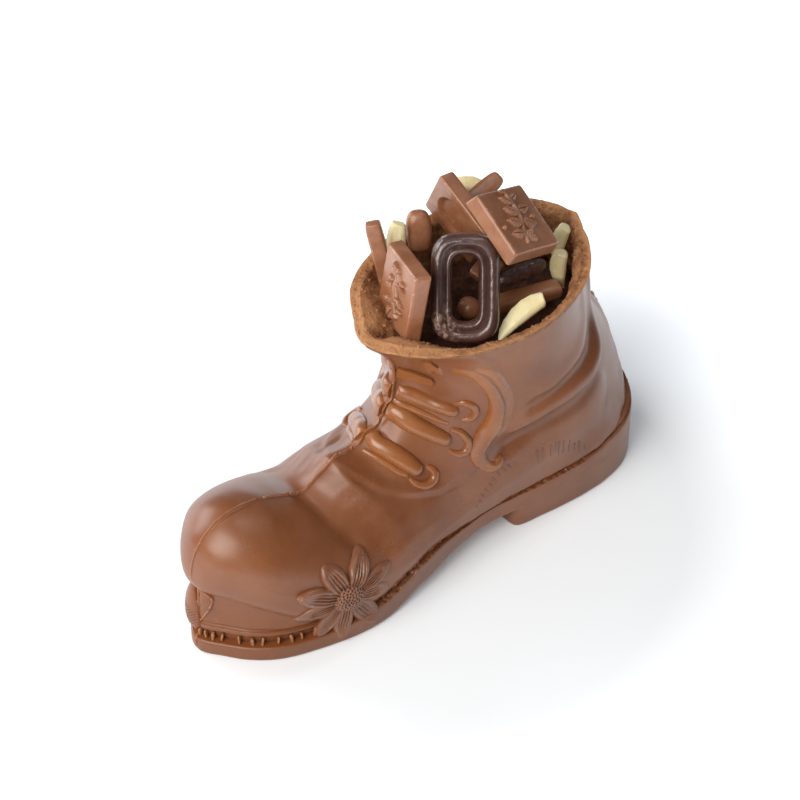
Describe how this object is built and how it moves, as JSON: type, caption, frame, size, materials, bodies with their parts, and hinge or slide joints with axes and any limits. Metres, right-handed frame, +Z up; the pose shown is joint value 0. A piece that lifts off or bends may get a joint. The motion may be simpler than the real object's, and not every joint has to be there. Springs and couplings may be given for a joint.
{
  "type": "filled chocolate boot",
  "caption": "Hollow moulded milk chocolate boot with laces, a round toe and a flower on its side, its open top heaped with small milk, dark and white chocolates.",
  "frame": {"origin": "middle of the whole in plan, at the height of the sole", "axes": "+X from toe to heel, -Y the side with the flower, +Z up"},
  "size_m": [0.1924, 0.0708, 0.1277],
  "materials": {
    "milk_chocolate": "satin",
    "dark_chocolate": "gloss",
    "white_chocolate": "satin"
  },
  "bodies": {
    "root": {"boot": "milk_chocolate", "milk_tile_front": "milk_chocolate", "milk_tile_top": "milk_chocolate", "milk_tile_back": "milk_chocolate", "dark_link": "dark_chocolate", "milk_ball": "milk_chocolate", "milk_chip": "milk_chocolate", "milk_baton_left": "milk_chocolate", "milk_oval": "milk_chocolate", "milk_baton_back": "milk_chocolate", "dark_drop": "dark_chocolate", "milk_bar_low": "milk_chocolate", "white_sliver_left": "white_chocolate", "white_sliver_back": "white_chocolate", "white_sliver_right": "white_chocolate", "white_sliver_low": "white_chocolate", "white_sliver_front": "white_chocolate", "filling_heap": "milk_chocolate"}
  },
  "joints": []
}
